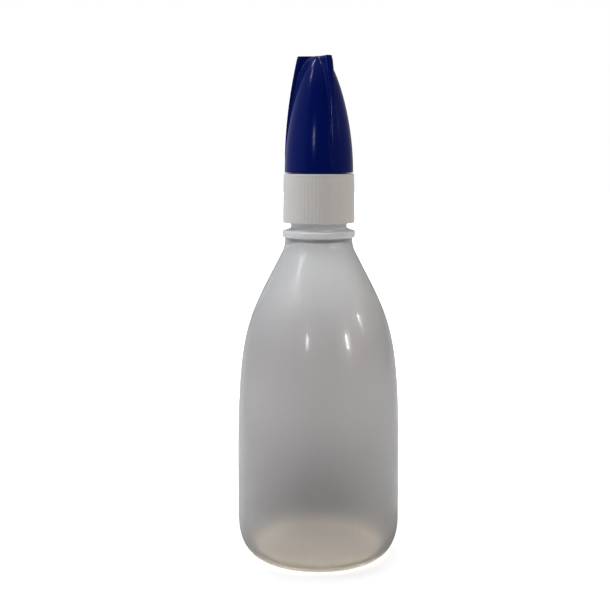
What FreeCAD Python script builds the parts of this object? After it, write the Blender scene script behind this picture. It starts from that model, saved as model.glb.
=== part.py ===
import FreeCAD, Part
import os
import re

import Sketcher

# Squeeze bottle that dispenses drops: a thin soft bottle with a screw neck, a sealing ring, a dropping
# nozzle, a ribbed screw collar that holds the nozzle down, and a winged overcap that closes the nozzle.
# Millimetres and degrees, +Z up along the common axis, origin at the centre of the bottle's foot.

SIZES = {
    # bottle: body, from the foot up to the waist under the neck
    "bodyRadius": 22.8,
    "bodyWall": 1.0,
    "floorThickness": 1.1,
    "heelInset": 5.0,
    "heelHeight": 9.8,
    "footWidth": 1.6,
    "pushUp": 1.3,
    "recessEdge": 14.0,
    "recessFlat": 9.0,
    "shoulderStart": 20.5,
    "shoulderLowerPull": 45.0,
    "shoulderUpperPull": 19.5,
    "shoulderAngle": 27.0,
    "coveReach": 1.7,
    "waistProud": 1.6,
    "waistHeight": 88.9,
    "waistLength": 0.8,
    # bottle: neck, whose plain wall every other neck size is measured from
    "neckRadius": 7.7,
    "neckWall": 1.7,
    "neckLength": 11.5,
    "boreFlare": 3.0,
    "beadProud": 2.3,
    "beadThickness": 1.9,
    "beadRound": 0.45,
    "beadSlope": 0.7,
    "rimRound": 0.4,
    # thread of the neck, and of the collar that turns on it
    "threadPitch": 3.0,
    "threadDepth": 0.85,
    "threadTurns": 1.5,
    "threadRootWidth": 1.3,
    "threadCrestWidth": 0.5,
    "threadBite": 0.3,
    "threadMargin": 1.6,
    "threadClearance": 0.25,
    # sealing ring
    "sealThickness": 0.8,
    "sealInset": 0.15,
    # nozzle
    "flangeThickness": 1.1,
    "lipGrip": 0.95,
    "plugLength": 6.0,
    "plugWall": 1.0,
    "plugLead": 0.5,
    "bossRise": 3.4,
    "snapHeight": 0.16,
    "snapLength": 0.9,
    "coneStep": 2.0,
    "nozzleWall": 1.2,
    "tipRadius": 1.6,
    "tipRound": 0.5,
    "tipRoom": 2.25,
    "orificeRadius": 0.6,
    "orificeLength": 4.0,
    # collar
    "collarGap": 1.4,
    "collarWall": 0.8,
    "collarDraft": 0.22,
    "lipThickness": 1.3,
    "lipRound": 0.25,
    "ribHeight": 0.22,
    "ribFootWidth": 0.74,
    "ribCrestWidth": 0.3,
    "ribBite": 0.2,
    "ribCount": 60,
    # overcap
    "capGap": 0.25,
    "capStepIn": 0.24,
    "capWall": 1.35,
    "capHeight": 31.0,
    "capTopRadius": 1.8,
    "capTopWall": 1.8,
    "capInnerTopRadius": 1.0,
    "capLowerPull": 14.0,
    "capUpperPull": 3.6,
    "capUpperReach": 3.3,
    "capBandHeight": 3.0,
    "capPinClearance": 0.1,
    "capPinReach": 1.6,
    "wingCount": 3,
    "wingAngle": 58.0,
    "wingThickness": 1.7,
    "wingStart": 4.0,
    "wingDip": 0.1,
    "wingTopRadius": 5.8,
    "wingLowerPull": 4.0,
    "wingUpperPull": 12.4,
    "wingUpperReach": 2.9,
    # fits between pieces that slide or turn on each other
    "slidingFit": 0.08,
    "runningFit": 0.1,
}

# Share of its half-axis that each middle pole of a cubic reaches, so that it follows a quarter ellipse.
QUARTER = 0.5523

# Radii and heights that several pieces share, each a formula on the sheet.
WAIST_RADIUS = "(neckRadius + waistProud)"
STAND_OUTER = "(bodyRadius - heelInset)"
STAND_INNER = "(bodyRadius - heelInset - footWidth)"
SHOULDER_SLOPE = "tan(shoulderAngle * 1 deg)"
SHOULDER_RADIUS = f"({WAIST_RADIUS} + coveReach * {SHOULDER_SLOPE})"
SHOULDER_TOP = "(waistHeight - 2 * coveReach)"
COVE_HEIGHT = "(waistHeight - coveReach)"
BEAD_RADIUS = "(neckRadius + beadProud)"
BEAD_BOTTOM = "(waistHeight + waistLength)"
BEAD_TOP = f"({BEAD_BOTTOM} + beadThickness)"
NECK_BOTTOM = f"({BEAD_TOP} + beadSlope)"
RIM = f"({NECK_BOTTOM} + neckLength)"
BORE_RADIUS = "(neckRadius - neckWall)"
FLANGE_BOTTOM = f"({RIM} + sealThickness)"
FLANGE_TOP = f"({FLANGE_BOTTOM} + flangeThickness)"
COLLAR_BOTTOM = f"({NECK_BOTTOM} + collarGap)"
COLLAR_TOP = f"({FLANGE_TOP} + lipThickness)"
COLLAR_BORE = "(neckRadius + threadDepth + threadClearance)"
COLLAR_CREST = "(neckRadius + threadClearance)"
COLLAR_RADIUS = f"({COLLAR_BORE} + collarWall)"
COLLAR_FOOT_RADIUS = f"({COLLAR_RADIUS} + collarDraft)"
FLANGE_RADIUS = f"({COLLAR_CREST} - runningFit)"
BOSS_RADIUS = f"({FLANGE_RADIUS} - lipGrip)"
BOSS_TOP = f"({COLLAR_TOP} + bossRise)"
CONE_RADIUS = f"({BOSS_RADIUS} - coneStep)"
PLUG_RADIUS = f"({BORE_RADIUS} - slidingFit)"
CAP_RADIUS = f"({COLLAR_RADIUS} - capStepIn)"
CAP_INNER_RADIUS = f"({CAP_RADIUS} - capWall)"
CAP_BAND_RADIUS = f"({BOSS_RADIUS} + snapHeight + slidingFit)"
CAP_BOTTOM = f"({COLLAR_TOP} + capGap)"
CAP_TOP = f"({CAP_BOTTOM} + capHeight)"
CAP_CEILING = f"({CAP_TOP} - capTopWall)"
CAP_PIN_RADIUS = "(orificeRadius - capPinClearance)"
NOZZLE_TIP = f"({CAP_CEILING} - tipRoom)"
THREAD_LENGTH = "(threadPitch * threadTurns)"
NECK_THREAD = f"({RIM} - threadMargin - {THREAD_LENGTH})"
COLLAR_THREAD = f"({NECK_THREAD} - (threadRootWidth + threadCrestWidth) / 2 - threadClearance)"

doc = FreeCAD.newDocument("dropper_bottle")
sheet = doc.addObject("Spreadsheet::Sheet", "Sizes")
for row, (alias, value) in enumerate(SIZES.items(), start=1):
    sheet.set(f"A{row}", alias)
    sheet.set(f"B{row}", str(value))
    sheet.setAlias(f"B{row}", alias)
doc.recompute()


def on_sheet(formula):
    """The formula with each size's name pointing at its cell."""
    return re.sub(r"[A-Za-z]+", lambda word: cell_or_word(word.group()), formula)


def cell_or_word(word):
    """A size's name becomes its cell; a function or a unit stays as it is."""
    return f"Sizes.{word}" if word in SIZES else word


def number(formula):
    """The value of a formula on the sheet."""
    value = sheet.evalExpression(on_sheet(formula))
    return float(getattr(value, "Value", value))


def new_body(label):
    """An empty body that is written to the file of the same name."""
    body = doc.addObject("PartDesign::Body", label)
    body.Label = label
    return body


def origin_item(body, role):
    """A plane or an axis of the body's own origin."""
    return next(item for item in body.Origin.OriginFeatures if item.Role == role)


def new_sketch(body, name, plane="XZ_Plane"):
    """A sketch on one of the body's origin planes."""
    sketch = body.newObject("Sketcher::SketchObject", name)
    sketch.AttachmentSupport = [(origin_item(body, plane), "")]
    sketch.MapMode = "FlatFace"
    return sketch


def hold(sketch, geometry, vertex, across, up):
    """Bind one point of a sketch to two formulas, measured from the sketch's origin."""
    for direction, axis, formula in (("DistanceX", -2, across), ("DistanceY", -1, up)):
        if formula == "0":
            sketch.addConstraint(Sketcher.Constraint("PointOnObject", geometry, vertex, axis))
            continue
        rule = Sketcher.Constraint(direction, -1, 1, geometry, vertex, number(formula))
        index = sketch.addConstraint(rule)
        sketch.setExpression(f"Constraints[{index}]", on_sheet(formula))


def bezier(sketch, poles):
    """A curve whose inner poles are bound to the sheet."""
    places = [FreeCAD.Vector(number(across), number(up), 0) for across, up in poles]
    degree = len(places) - 1
    curve = Part.BSplineCurve()
    curve.buildFromPolesMultsKnots(places, [degree + 1, degree + 1], [0.0, 1.0], False, degree)
    spline = sketch.addGeometry(curve, False)
    for index, place in enumerate(places):
        handle = sketch.addGeometry(Part.Circle(place, FreeCAD.Vector(0, 0, 1), 1.0), True)
        sketch.addConstraint(Sketcher.Constraint("Weight", handle, 1.0))
        link = "InternalAlignment:Sketcher::BSplineControlPoint"
        sketch.addConstraint(Sketcher.Constraint(link, handle, 3, spline, index))
        if 0 < index < degree:
            hold(sketch, handle, 3, *poles[index])
    return spline


def draw_outline(sketch, start, steps):
    """A closed outline. A step of one point is a straight run to it; a step of more is a curve."""
    here = start
    runs = []
    closing = [] if steps[-1][-1] == start else [[start]]
    for step in steps + closing:
        poles = [here, *step]
        if len(poles) == 2:
            ends = [FreeCAD.Vector(number(across), number(up), 0) for across, up in poles]
            runs.append(sketch.addGeometry(Part.LineSegment(*ends), False))
        else:
            runs.append(bezier(sketch, poles))
        hold(sketch, runs[-1], 1, *here)
        here = step[-1]
    for before, after in zip(runs, runs[1:] + runs[:1]):
        sketch.addConstraint(Sketcher.Constraint("Coincident", before, 2, after, 1))


def revolve(body, name, start, steps):
    """A full turn of an outline about the body's axis."""
    sketch = new_sketch(body, f"{name}Outline")
    draw_outline(sketch, start, steps)
    turned = body.newObject("PartDesign::Revolution", name)
    turned.Profile = sketch
    turned.ReferenceAxis = (sketch, ["V_Axis"])
    turned.Angle = 360
    return turned


def thread_ridge(body, name, foot, crest, height):
    """A helical ridge of trapezoid section from a buried foot radius to a crest radius."""
    sketch = new_sketch(body, f"{name}Section")
    corners = [
        (foot, f"{height} - threadRootWidth / 2"),
        (crest, f"{height} - threadCrestWidth / 2"),
        (crest, f"{height} + threadCrestWidth / 2"),
        (foot, f"{height} + threadRootWidth / 2"),
    ]
    draw_outline(sketch, corners[0], [[corner] for corner in corners[1:]])
    ridge = body.newObject("PartDesign::AdditiveHelix", name)
    ridge.Profile = sketch
    ridge.ReferenceAxis = (sketch, ["V_Axis"])
    ridge.Mode = "pitch-turns-angle"
    ridge.LeftHanded = False
    ridge.Reversed = False
    ridge.setExpression("Pitch", on_sheet("threadPitch"))
    ridge.setExpression("Turns", on_sheet("threadTurns"))
    return ridge


def ring_pattern(body, name, feature, count):
    """The feature repeated evenly about the body's axis."""
    pattern = body.newObject("PartDesign::PolarPattern", name)
    pattern.Originals = [feature]
    pattern.Axis = (origin_item(body, "Z_Axis"), [""])
    pattern.Angle = 360
    pattern.setExpression("Occurrences", on_sheet(count))
    body.Tip = pattern
    return pattern


def quarter_turn(centre, reach, rise):
    """Middle poles and end of a quarter ellipse that leaves level at centre and ends upright."""
    across, up = centre
    return [
        (f"{across} + {QUARTER} * {reach}", up),
        (f"{across} + {reach}", f"{up} + {1 - QUARTER} * {rise}"),
        (f"{across} + {reach}", f"{up} + {rise}"),
    ]


def make_bottle():
    """Blow-moulded bottle: pushed-up foot, round heel, long shoulder, waist, bead and screw neck."""
    body = new_body("bottle")
    lower_pull = "shoulderStart + shoulderLowerPull"
    upper_pull = f"{SHOULDER_TOP} - shoulderUpperPull"
    upper_pull_radius = f"{SHOULDER_RADIUS} + shoulderUpperPull * {SHOULDER_SLOPE}"
    inner_heel = f"{STAND_OUTER} - bodyWall"
    inner_rise = "(heelHeight - floorThickness)"
    bore_end = f"{NECK_BOTTOM} - boreFlare / 2"
    revolve(body, "bottleWall", ("0", "pushUp"), [
        # foot, heel and side
        [("recessFlat", "pushUp"), ("recessEdge", "0"), (STAND_INNER, "0")],
        [(STAND_OUTER, "0")],
        quarter_turn((STAND_OUTER, "0"), "heelInset", "heelHeight"),
        [("bodyRadius", "shoulderStart")],
        # shoulder and cove up to the waist
        [("bodyRadius", lower_pull), (upper_pull_radius, upper_pull), (SHOULDER_RADIUS, SHOULDER_TOP)],
        [(WAIST_RADIUS, COVE_HEIGHT), (WAIST_RADIUS, "waistHeight")],
        # bead
        [(WAIST_RADIUS, BEAD_BOTTOM)],
        [(f"{BEAD_RADIUS} - beadRound", BEAD_BOTTOM)],
        [(BEAD_RADIUS, BEAD_BOTTOM), (BEAD_RADIUS, f"{BEAD_BOTTOM} + beadRound")],
        [(BEAD_RADIUS, f"{BEAD_TOP} - beadRound")],
        [(BEAD_RADIUS, BEAD_TOP), (f"{BEAD_RADIUS} - 2 * beadRound", BEAD_TOP)],
        [("neckRadius", NECK_BOTTOM)],
        # neck and rim
        [("neckRadius", f"{RIM} - rimRound")],
        [("neckRadius", RIM), ("neckRadius - rimRound", RIM)],
        [(f"{BORE_RADIUS} + rimRound", RIM)],
        [(BORE_RADIUS, RIM), (BORE_RADIUS, f"{RIM} - rimRound")],
        # bore, inside of the shoulder, side, heel and floor
        [(BORE_RADIUS, bore_end)],
        [(BORE_RADIUS, f"{bore_end} - boreFlare"),
         (f"{WAIST_RADIUS} - bodyWall", f"{COVE_HEIGHT} + boreFlare"),
         (f"{WAIST_RADIUS} - bodyWall", COVE_HEIGHT)],
        [(f"{SHOULDER_RADIUS} - bodyWall", SHOULDER_TOP)],
        [(f"{upper_pull_radius} - bodyWall", upper_pull), ("bodyRadius - bodyWall", lower_pull),
         ("bodyRadius - bodyWall", "shoulderStart")],
        [("bodyRadius - bodyWall", "heelHeight")],
        quarter_turn((inner_heel, "floorThickness"), "heelInset", inner_rise)[1::-1]
        + [(inner_heel, "floorThickness")],
        [(STAND_INNER, "floorThickness")],
        [("recessEdge", "floorThickness"), ("recessFlat", "pushUp + floorThickness"),
         ("0", "pushUp + floorThickness")],
    ])
    foot = "neckRadius - threadBite"
    thread_ridge(body, "neckThread", foot, "neckRadius + threadDepth", NECK_THREAD)
    return body


def make_sealing_ring():
    """Flat gasket pinched between the bottle's rim and the nozzle's flange."""
    body = new_body("sealing_ring")
    inner = f"{BORE_RADIUS} + sealInset"
    outer = "neckRadius - sealInset"
    revolve(body, "gasket", (inner, RIM), [
        [(outer, RIM)],
        [(outer, FLANGE_BOTTOM)],
        [(inner, FLANGE_BOTTOM)],
    ])
    return body


def make_nozzle():
    """Dropping nozzle: a plug in the neck's bore, a flange under the collar's lip, a boss and a cone."""
    body = new_body("nozzle")
    plug_bottom = f"{FLANGE_BOTTOM} - plugLength"
    plug_inner = f"{PLUG_RADIUS} - plugWall"
    snap_middle = f"{CAP_BOTTOM} + capBandHeight / 2"
    snap_radius = f"{BOSS_RADIUS} + snapHeight"
    revolve(body, "nozzleWall", (plug_inner, plug_bottom), [
        [(f"{PLUG_RADIUS} - plugLead / 2", plug_bottom)],
        [(PLUG_RADIUS, f"{plug_bottom} + plugLead")],
        [(PLUG_RADIUS, FLANGE_BOTTOM)],
        [(FLANGE_RADIUS, FLANGE_BOTTOM)],
        [(FLANGE_RADIUS, FLANGE_TOP)],
        [(BOSS_RADIUS, FLANGE_TOP)],
        [(BOSS_RADIUS, f"{snap_middle} - snapLength / 2")],
        [(snap_radius, snap_middle), (BOSS_RADIUS, f"{snap_middle} + snapLength / 2")],
        [(BOSS_RADIUS, f"{BOSS_TOP} - tipRound")],
        [(BOSS_RADIUS, BOSS_TOP), (f"{BOSS_RADIUS} - tipRound", BOSS_TOP)],
        [(CONE_RADIUS, BOSS_TOP)],
        [("tipRadius", f"{NOZZLE_TIP} - tipRound")],
        [("tipRadius", NOZZLE_TIP), ("tipRadius - tipRound", NOZZLE_TIP)],
        [("orificeRadius", NOZZLE_TIP)],
        [("orificeRadius", f"{NOZZLE_TIP} - orificeLength")],
        [(f"{CONE_RADIUS} - nozzleWall", BOSS_TOP)],
        [(plug_inner, FLANGE_TOP)],
    ])
    return body


def make_collar():
    """Screw collar: threaded skirt with grip ribs, and a plain ring on top whose lip holds the flange."""
    body = new_body("collar")
    opening = f"{BOSS_RADIUS} + runningFit"
    revolve(body, "collarSkirt", (COLLAR_BORE, COLLAR_BOTTOM), [
        [(COLLAR_FOOT_RADIUS, COLLAR_BOTTOM)],
        [(COLLAR_RADIUS, FLANGE_TOP)],
        [(COLLAR_RADIUS, f"{COLLAR_TOP} - lipRound")],
        [(COLLAR_RADIUS, COLLAR_TOP), (f"{COLLAR_RADIUS} - lipRound", COLLAR_TOP)],
        [(opening, COLLAR_TOP)],
        [(opening, FLANGE_TOP)],
        [(COLLAR_BORE, FLANGE_TOP)],
    ])
    foot = f"{COLLAR_BORE} + threadBite"
    thread_ridge(body, "collarThread", foot, COLLAR_CREST, COLLAR_THREAD)
    ends = []
    for place, height, radius in (
        ("Bottom", COLLAR_BOTTOM, COLLAR_FOOT_RADIUS),
        ("Top", FLANGE_TOP, COLLAR_RADIUS),
    ):
        section = new_sketch(body, f"rib{place}", "XY_Plane")
        section.setExpression("AttachmentOffset.Base.z", on_sheet(height))
        corners = [
            (f"{radius} - ribBite", "-ribFootWidth / 2"),
            (f"{radius} + ribHeight", "-ribCrestWidth / 2"),
            (f"{radius} + ribHeight", "ribCrestWidth / 2"),
            (f"{radius} - ribBite", "ribFootWidth / 2"),
        ]
        draw_outline(section, corners[0], [[corner] for corner in corners[1:]])
        ends.append(section)
    rib = body.newObject("PartDesign::AdditiveLoft", "gripRib")
    rib.Profile = ends[0]
    rib.Sections = [ends[1]]
    rib.Ruled = True
    ring_pattern(body, "gripRibs", rib, "ribCount")
    return body


def make_overcap():
    """Overcap: a bullet-shaped shell with three upright wings, a gripping band and a sealing pin."""
    body = new_body("overcap")
    upper_radius = "(capTopRadius + capUpperReach)"
    upper_height = f"({CAP_TOP} - capUpperPull)"
    lower_height = f"({CAP_BOTTOM} + capLowerPull)"
    band_top = f"({CAP_BOTTOM} + capBandHeight)"
    pin_end = f"({NOZZLE_TIP} - capPinReach)"
    shell_turn = f"({upper_height} - capTopWall / 2)"
    revolve(body, "capShell", ("0", CAP_TOP), [
        [("capTopRadius", CAP_TOP)],
        [(upper_radius, upper_height), (CAP_RADIUS, lower_height), (CAP_RADIUS, CAP_BOTTOM)],
        [(CAP_BAND_RADIUS, CAP_BOTTOM)],
        [(CAP_BAND_RADIUS, band_top)],
        [(CAP_INNER_RADIUS, f"{band_top} + {CAP_INNER_RADIUS} - {CAP_BAND_RADIUS}")],
        [(CAP_INNER_RADIUS, lower_height), (f"{upper_radius} - capWall", shell_turn),
         ("capInnerTopRadius", CAP_CEILING)],
        [(CAP_PIN_RADIUS, CAP_CEILING)],
        [(CAP_PIN_RADIUS, f"{pin_end} + {CAP_PIN_RADIUS}")],
        [("0", pin_end)],
    ])
    buried = "capWall / 2"
    wing_foot = f"({CAP_BOTTOM} + wingStart)"
    outline = new_sketch(body, "wingOutline")
    draw_outline(outline, (f"{CAP_RADIUS} - {buried}", wing_foot), [
        [(f"{CAP_RADIUS} - wingDip", wing_foot)],
        [(f"{CAP_RADIUS} - wingDip", f"{wing_foot} + wingLowerPull"),
         ("wingTopRadius + wingUpperReach", f"{CAP_TOP} - wingUpperPull"),
         ("wingTopRadius", CAP_TOP)],
        [(f"capTopRadius - {buried}", CAP_TOP)],
        [(f"{upper_radius} - {buried}", upper_height),
         (f"{CAP_RADIUS} - {buried}", lower_height),
         (f"{CAP_RADIUS} - {buried}", wing_foot)],
    ])
    wing = body.newObject("PartDesign::Pad", "wing")
    wing.Profile = outline
    wing.setExpression("Length", on_sheet("wingThickness"))
    wing.Midplane = True
    ring_pattern(body, "wings", wing, "wingCount")
    body.Placement.Rotation = FreeCAD.Rotation(FreeCAD.Vector(0, 0, 1), number("wingAngle"))
    return body


bodies = [make_bottle(), make_sealing_ring(), make_nozzle(), make_collar(), make_overcap()]
doc.recompute()

for item in doc.Objects:
    if {"Invalid", "Error"} & set(item.State):
        raise RuntimeError(f"{item.Name} failed: {item.State}")
for body in bodies:
    if body.Shape.isNull() or not body.Shape.isValid():
        raise RuntimeError(f"{body.Label} has no valid shape")

os.makedirs("parts", exist_ok=True)
for body in bodies:
    body.Shape.exportStep(f"parts/{body.Label}.step")
    print(body.Label, len(body.Shape.Solids), round(body.Shape.Volume, 1), body.Shape.BoundBox)
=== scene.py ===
import math

import bmesh
import bpy
from mathutils import Euler, Matrix, Vector


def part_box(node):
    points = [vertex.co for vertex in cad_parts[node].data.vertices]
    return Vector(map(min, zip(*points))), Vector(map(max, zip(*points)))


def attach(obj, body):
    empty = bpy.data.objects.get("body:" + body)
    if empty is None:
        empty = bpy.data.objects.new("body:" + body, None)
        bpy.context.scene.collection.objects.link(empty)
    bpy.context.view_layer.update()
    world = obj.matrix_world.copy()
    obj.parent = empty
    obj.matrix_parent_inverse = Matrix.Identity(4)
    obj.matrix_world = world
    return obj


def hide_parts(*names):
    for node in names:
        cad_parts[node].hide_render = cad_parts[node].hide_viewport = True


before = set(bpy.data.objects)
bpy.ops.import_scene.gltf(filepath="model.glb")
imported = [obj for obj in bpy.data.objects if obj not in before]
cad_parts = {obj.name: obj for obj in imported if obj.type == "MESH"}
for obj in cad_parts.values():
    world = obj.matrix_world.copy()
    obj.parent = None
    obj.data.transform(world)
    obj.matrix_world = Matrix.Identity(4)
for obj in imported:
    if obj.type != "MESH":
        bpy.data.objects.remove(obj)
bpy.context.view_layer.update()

MM = 0.001
TURN = 2 * math.pi

# ---- sizes in metres: the frame's boxes, then each piece's own ----

BOTTLE_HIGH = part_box("bottle")[1]
SEAL_LOW, SEAL_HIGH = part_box("sealing_ring")
NOZZLE_LOW, NOZZLE_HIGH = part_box("nozzle")
COLLAR_LOW, COLLAR_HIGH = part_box("collar")
CAP_LOW, CAP_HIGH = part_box("overcap")

# how finely and how exactly the pieces are made; the sharp edges' angles are in degrees
BOTTLE_SIDES = 180
ROUND_SIDES = 96
ON_WALL = 0.01 * MM
MERGE = 0.002 * MM
ON_CUT = 0.001 * MM
CORNER = 1.0
RUN = 2.0 * MM
BEND = 0.8 * MM
BOTTLE_INSIDE_RUN = 3.0 * MM
BOTTLE_INSIDE_BEND = 1.0 * MM
COLLAR_BORE_RUN = 1.0 * MM
LEAST_BEND = 5
QUARTER_PULL = 0.5523
HALVINGS = 30
SHARP = 38.0
SHARP_COLLAR = 60.0

# bottle
BODY_RADIUS = BOTTLE_HIGH.x
RIM = BOTTLE_HIGH.z
BODY_WALL = 1.0 * MM
FLOOR_THICKNESS = 1.1 * MM
HEEL_INSET = 5.0 * MM
HEEL_HEIGHT = 9.8 * MM
FOOT_WIDTH = 1.6 * MM
PUSH_UP = 1.3 * MM
RECESS_FLAT = 9.0 * MM
RECESS_EDGE = 14.0 * MM
SHOULDER_START = 20.5 * MM
SHOULDER_LOWER_PULL = 45.0 * MM
SHOULDER_UPPER_PULL = 19.5 * MM
SHOULDER_SLOPE = math.tan(math.radians(27.0))
COVE_REACH = 1.7 * MM
WAIST_LENGTH = 0.8 * MM
BEAD_THICKNESS = 1.9 * MM
BEAD_ROUND = 0.45 * MM
BEAD_SLOPE = 0.7 * MM
NECK_RADIUS = 7.7 * MM
NECK_LENGTH = 11.5 * MM
BORE_RADIUS = 6.0 * MM
BORE_FLARE = 3.0 * MM
RIM_ROUND = 0.4 * MM
WAIST_RADIUS = NECK_RADIUS + 1.6 * MM
BEAD_RADIUS = NECK_RADIUS + 2.3 * MM
NECK_BOTTOM = RIM - NECK_LENGTH
BEAD_TOP = NECK_BOTTOM - BEAD_SLOPE
BEAD_BOTTOM = BEAD_TOP - BEAD_THICKNESS
WAIST_HEIGHT = BEAD_BOTTOM - WAIST_LENGTH
SEAM_TURN = math.radians(-65.0)
SEAM_HALF = 0.16 * MM
SEAM_HEIGHT = 0.05 * MM
SEAM_UPRIGHT = 0.2
PINCH_HEIGHT = 0.4 * MM
PINCH_REACH = 11.0 * MM
PINCH_FADE = 2.0 * MM
PINCH_UNDER = -0.5
PINCH_TOP = PUSH_UP + 0.1 * MM
STAND_OUTER = BODY_RADIUS - HEEL_INSET
STAND_INNER = STAND_OUTER - FOOT_WIDTH
COVE = WAIST_HEIGHT - COVE_REACH
SHOULDER_TOP = WAIST_HEIGHT - 2 * COVE_REACH
SHOULDER_RADIUS = WAIST_RADIUS + COVE_REACH * SHOULDER_SLOPE
SHOULDER_LOWER = SHOULDER_START + SHOULDER_LOWER_PULL
SHOULDER_UPPER = SHOULDER_TOP - SHOULDER_UPPER_PULL
SHOULDER_UPPER_RADIUS = SHOULDER_RADIUS + SHOULDER_UPPER_PULL * SHOULDER_SLOPE

# clearness of the blown wall from the foot up: each band's top and transmission
WALL_BANDS = (
    (2.0 * MM, 0.50),
    (2.8 * MM, 0.60),
    (3.8 * MM, 0.70),
    (5.2 * MM, 0.80),
    (BEAD_BOTTOM, 0.88),
    (RIM, 0.50),
)

# thread
THREAD_PITCH = 3.0 * MM
THREAD_TURNS = 1.5
THREAD_DEPTH = 0.85 * MM
THREAD_ROOT = 1.3 * MM
THREAD_CREST = 0.5 * MM
THREAD_CLEARANCE = 0.25 * MM
THREAD_MARGIN = 1.6 * MM
THREAD_RUN_OUT = 0.06
THREAD_LENGTH = THREAD_PITCH * THREAD_TURNS
NECK_THREAD = RIM - THREAD_MARGIN - THREAD_LENGTH
NECK_THREAD_LOW = NECK_THREAD - THREAD_ROOT
NECK_THREAD_HIGH = NECK_THREAD + THREAD_LENGTH + THREAD_ROOT
NECK_THREAD_RUN = 0.13 * MM
COLLAR_THREAD_RUN = 0.2 * MM
COLLAR_THREAD = NECK_THREAD - (THREAD_ROOT + THREAD_CREST) / 2 - THREAD_CLEARANCE

# collar
LIP_THICKNESS = 1.3 * MM
LIP_ROUND = 0.25 * MM
RIB_HEIGHT = 0.05 * MM
RIB_COUNT = 60
RIB_COLUMNS = 8
RIB_SPREAD = 0.9
RIB_RUN_OUT = 0.35 * MM
COLLAR_RING = COLLAR_HIGH.z - LIP_THICKNESS
COLLAR_BORE = NECK_RADIUS + THREAD_DEPTH + THREAD_CLEARANCE
COLLAR_WALL = 0.8 * MM
COLLAR_TAPER = 0.22 * MM
COLLAR_RADIUS = COLLAR_BORE + COLLAR_WALL
COLLAR_FOOT_RADIUS = COLLAR_RADIUS + COLLAR_TAPER
COLLAR_BEND = 0.2 * MM
COLLAR_RING_RUN = 0.12 * MM + RIB_RUN_OUT / 2
OPENING_CLEARANCE = 0.1 * MM

# sealing ring
SEAL_CLEARANCE = 0.15 * MM
SEAL_ROUND = 0.12 * MM

# nozzle
FLANGE_RADIUS = NOZZLE_HIGH.x
BOSS_RADIUS = FLANGE_RADIUS - 0.95 * MM
BOSS_TOP = COLLAR_HIGH.z + 3.4 * MM
CONE_RADIUS = BOSS_RADIUS - 2.0 * MM
NOZZLE_WALL = 1.2 * MM
PLUG_RADIUS = BORE_RADIUS - 0.08 * MM
PLUG_WALL = 1.0 * MM
PLUG_LEAD = 0.5 * MM
SNAP_HEIGHT = 0.16 * MM
SNAP_LENGTH = 0.9 * MM
SNAP_PLACE = CAP_LOW.z + 1.5 * MM
CONE_EASE = 0.4 * MM
CONE_LEAN = 0.05 * MM
TIP_RADIUS = 1.6 * MM
TIP_ROUND = 0.5 * MM
ORIFICE_RADIUS = 0.6 * MM
ORIFICE_LENGTH = 4.0 * MM
ORIFICE_ROUND = 0.1 * MM

# overcap
CAP_RADIUS = CAP_HIGH.x
CAP_WALL = 1.35 * MM
CAP_TOP_RADIUS = 1.8 * MM
CAP_TOP_WALL = 1.8 * MM
CAP_INNER_TOP = 1.0 * MM
CAP_UPPER_RADIUS = CAP_TOP_RADIUS + 3.3 * MM
CAP_LOWER = CAP_LOW.z + 14.0 * MM
CAP_UPPER = CAP_HIGH.z - 3.6 * MM
CAP_BAND_RADIUS = BOSS_RADIUS + SNAP_HEIGHT + 0.08 * MM
CAP_BAND_TOP = CAP_LOW.z + 3.0 * MM
CAP_PIN_RADIUS = ORIFICE_RADIUS - 0.1 * MM
CAP_PIN_END = NOZZLE_HIGH.z - 1.6 * MM
CAP_FOOT_ROUND = 0.2 * MM
CAP_TOP_ROUND = 0.3 * MM
WING_COUNT = 3
WING_TURN = math.radians(58.0)
WING_HALF = 0.85 * MM
WING_EDGE = 0.3 * MM
WING_FILLET = 1.4 * MM
WING_FOOT = CAP_LOW.z + 4.0 * MM
WING_RADIUS = CAP_RADIUS - 0.1 * MM
WING_TOP_RADIUS = 5.8 * MM
WING_LOWER = WING_FOOT + 4.0 * MM
WING_UPPER_RADIUS = WING_TOP_RADIUS + 2.9 * MM
WING_UPPER = CAP_HIGH.z - 12.4 * MM
WING_FILLET_ROOM = 1.5
WING_SIDE_STEPS = 4
WING_FILLET_STEPS = 6
CAP_SIDE_STEPS = 14
CAP_LEVEL = 0.5 * MM
CAP_TOP_STEPS = 4


# ---- outlines and meshes ----


def bezier(poles, share):
    """The point at this share of the Bezier curve with these poles."""
    level = [Vector(pole) for pole in poles]
    while len(level) > 1:
        level = [before.lerp(after, share) for before, after in zip(level, level[1:])]
    return level[0]


def outline(start, *steps, run=RUN, bend=BEND):
    """A half-section as points: a step of one point is straight, and one of more is a curve."""
    points = [Vector(start)]
    for step in steps:
        poles = [points[-1], *(Vector(pole) for pole in step)]
        spread = sum((after - before).length for before, after in zip(poles, poles[1:]))
        count = max(1, math.ceil(spread / run))
        if len(poles) > 2:
            count = max(LEAST_BEND, math.ceil(spread / bend))
        points += [bezier(poles, index / count) for index in range(1, count + 1)]
    return points


def quarter(across, up, reach, rise):
    """Middle poles and end of a quarter ellipse that leaves level and ends upright."""
    first = (across + QUARTER_PULL * reach, up)
    second = (across + reach, up + (1 - QUARTER_PULL) * rise)
    return [first, second, (across + reach, up + rise)]


def lathe(points, steps, closed=False):
    """A full turn of a half-section about the Z axis, as a bmesh."""
    mesh = bmesh.new()
    verts = [mesh.verts.new((point[0], 0, point[1])) for point in points]
    edges = [mesh.edges.new(pair) for pair in zip(verts, verts[1:])]
    if closed:
        edges.append(mesh.edges.new((verts[-1], verts[0])))
    bmesh.ops.spin(
        mesh, geom=verts + edges, cent=(0, 0, 0), axis=(0, 0, 1), dvec=(0, 0, 0), angle=TURN,
        steps=steps, use_merge=True, use_normal_flip=False, use_duplicate=False)
    return mesh


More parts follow.
